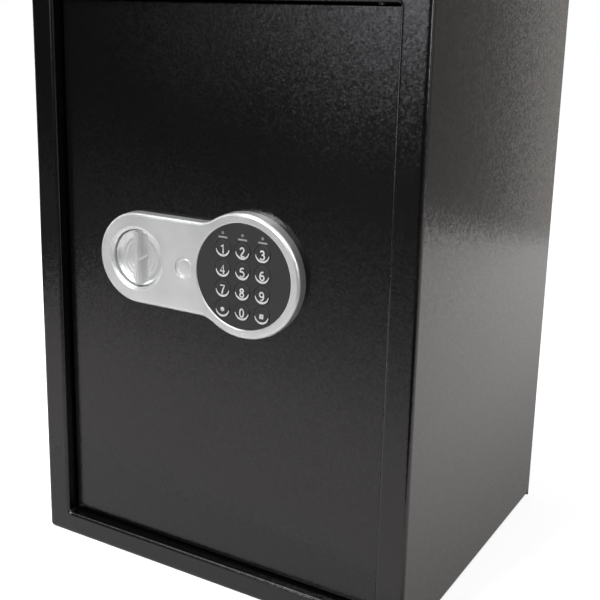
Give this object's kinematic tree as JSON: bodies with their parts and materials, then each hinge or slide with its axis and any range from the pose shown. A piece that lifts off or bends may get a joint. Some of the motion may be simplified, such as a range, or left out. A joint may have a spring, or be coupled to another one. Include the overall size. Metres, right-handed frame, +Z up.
{
  "type": "electronic safe",
  "caption": "Steel box safe with a recessed hinged door, round keypad, turning knob, sliding lock bolts, key override under a cap and an inner shelf.",
  "frame": {"origin": "middle of the cabinet's base, on the floor", "axes": "+X to the right seen from the front, +Y to the back (the door faces -Y), +Z up"},
  "size_m": [0.35, 0.31, 0.5],
  "materials": {
    "cabinet_coat": "fine grained powder coat, semi-gloss",
    "door_coat": "fine grained powder coat, semi-gloss",
    "inner_cover_coat": "smooth satin paint",
    "mat_rubber": "ribbed matt rubber",
    "silver_plastic": "satin silver paint on moulded plastic",
    "keypad_black": "matt",
    "key_black": "matt, with printed white marks",
    "lens_plastic": "clear lens",
    "plated_steel": "zinc plated",
    "bolt_steel": "turned and plated",
    "bush_brass": "turned",
    "lock_brass": "turned",
    "solenoid_wrap": "satin",
    "board_green": "solder mask",
    "ribbon_grey": "satin",
    "lead_red": "satin",
    "tray_black": "moulded, fine texture",
    "battery_wrap": "printed sleeve, bare",
    "button_red": "moulded"
  },
  "bodies": {
    "cabinet": {"cabinet_shell": "cabinet_coat", "front_frame": "cabinet_coat", "back_panel": "cabinet_coat", "hinge_brackets": "plated_steel", "shelf": "cabinet_coat", "shelf_supports": "plated_steel", "floor_mat": "mat_rubber"},
    "door": {"door_plate": "door_coat", "door_channel": "door_coat", "hinge_blocks": "door_coat", "hinge_pins": "door_coat", "inner_cover": "inner_cover_coat", "cover_screws": "plated_steel", "panel_housing": "silver_plastic", "panel_bolts": "plated_steel", "keypad_fascia": "keypad_black", "keypad_board": "board_green", "indicator_lenses": "lens_plastic", "knob_bush": "bush_brass", "bolt_guides": "plated_steel", "carrier_posts": "plated_steel", "solenoid_frame": "solenoid_wrap", "plunger_spring": "bolt_steel", "override_cylinder": "lock_brass", "cylinder_nut": "plated_steel", "control_board": "board_green", "board_standoffs": "plated_steel", "ribbon_cable": "ribbon_grey", "wire_leads": "lead_red", "battery_tray": "tray_black", "batteries": "battery_wrap", "battery_contacts": "bolt_steel"},
    "knob": {"knob": "silver_plastic", "knob_spindle": "plated_steel", "bolt_cam": "plated_steel", "cam_screw": "plated_steel"},
    "bolts": {"bolt_carrier": "plated_steel", "locking_bolts": "bolt_steel", "bolt_screws": "plated_steel"},
    "plunger": {"plunger": "bolt_steel"},
    "override_plug": {"override_plug": "lock_brass", "override_cam": "plated_steel"},
    "override_cover": {"override_cover": "silver_plastic"},
    "battery_lid": {"battery_lid": "tray_black"},
    "reset_button": {"reset_button": "button_red"},
    "key_1": {"key_1": "key_black"},
    "key_2": {"key_2": "key_black"},
    "key_3": {"key_3": "key_black"},
    "key_4": {"key_4": "key_black"},
    "key_5": {"key_5": "key_black"},
    "key_6": {"key_6": "key_black"},
    "key_7": {"key_7": "key_black"},
    "key_8": {"key_8": "key_black"},
    "key_9": {"key_9": "key_black"},
    "key_star": {"key_star": "key_black"},
    "key_0": {"key_0": "key_black"},
    "key_hash": {"key_hash": "key_black"}
  },
  "joints": [
    {"name": "door_hinge", "type": "hinge", "parent": "cabinet", "child": "door", "pos_m": [0.1315, -0.136, 0.25], "axis": [0, 0, 1], "range_deg": [0, 100]},
    {"name": "knob_turn", "type": "hinge", "parent": "door", "child": "knob", "pos_m": [-0.07, -0.149, 0.2725], "axis": [0, -1, 0], "range_deg": [0, 90]},
    {"name": "bolt_slide", "type": "slide", "parent": "door", "child": "bolts", "axis": [-1, 0, 0], "range_m": [0, 0.016]},
    {"name": "plunger_slide", "type": "slide", "parent": "door", "child": "plunger", "axis": [0, 0, 1], "range_m": [0, 0.008], "deforming": ["plunger_spring"]},
    {"name": "override_turn", "type": "hinge", "parent": "door", "child": "override_plug", "pos_m": [-0.0233, -0.144, 0.2715], "axis": [0, 1, 0], "range_deg": [0, 90]},
    {"name": "cover_pull", "type": "slide", "parent": "door", "child": "override_cover", "axis": [0, -1, 0], "range_m": [0, 0.006]},
    {"name": "lid_slide", "type": "slide", "parent": "door", "child": "battery_lid", "axis": [0, 0, 1], "range_m": [0, 0.02]},
    {"name": "reset_press", "type": "slide", "parent": "door", "child": "reset_button", "axis": [0, -1, 0], "range_m": [0, 0.0012], "stiffness_N_per_m": 400},
    {"name": "key_1_press", "type": "slide", "parent": "door", "child": "key_1", "axis": [0, 1, 0], "range_m": [0, 0.0008], "stiffness_N_per_m": 800},
    {"name": "key_2_press", "type": "slide", "parent": "door", "child": "key_2", "axis": [0, 1, 0], "range_m": [0, 0.0008], "stiffness_N_per_m": 800},
    {"name": "key_3_press", "type": "slide", "parent": "door", "child": "key_3", "axis": [0, 1, 0], "range_m": [0, 0.0008], "stiffness_N_per_m": 800},
    {"name": "key_4_press", "type": "slide", "parent": "door", "child": "key_4", "axis": [0, 1, 0], "range_m": [0, 0.0008], "stiffness_N_per_m": 800},
    {"name": "key_5_press", "type": "slide", "parent": "door", "child": "key_5", "axis": [0, 1, 0], "range_m": [0, 0.0008], "stiffness_N_per_m": 800},
    {"name": "key_6_press", "type": "slide", "parent": "door", "child": "key_6", "axis": [0, 1, 0], "range_m": [0, 0.0008], "stiffness_N_per_m": 800},
    {"name": "key_7_press", "type": "slide", "parent": "door", "child": "key_7", "axis": [0, 1, 0], "range_m": [0, 0.0008], "stiffness_N_per_m": 800},
    {"name": "key_8_press", "type": "slide", "parent": "door", "child": "key_8", "axis": [0, 1, 0], "range_m": [0, 0.0008], "stiffness_N_per_m": 800},
    {"name": "key_9_press", "type": "slide", "parent": "door", "child": "key_9", "axis": [0, 1, 0], "range_m": [0, 0.0008], "stiffness_N_per_m": 800},
    {"name": "key_star_press", "type": "slide", "parent": "door", "child": "key_star", "axis": [0, 1, 0], "range_m": [0, 0.0008], "stiffness_N_per_m": 800},
    {"name": "key_0_press", "type": "slide", "parent": "door", "child": "key_0", "axis": [0, 1, 0], "range_m": [0, 0.0008], "stiffness_N_per_m": 800},
    {"name": "key_hash_press", "type": "slide", "parent": "door", "child": "key_hash", "axis": [0, 1, 0], "range_m": [0, 0.0008], "stiffness_N_per_m": 800}
  ],
  "couplings": [
    {"joint": "knob_turn", "follows": "bolt_slide", "rad_per_m": 98.175}
  ]
}
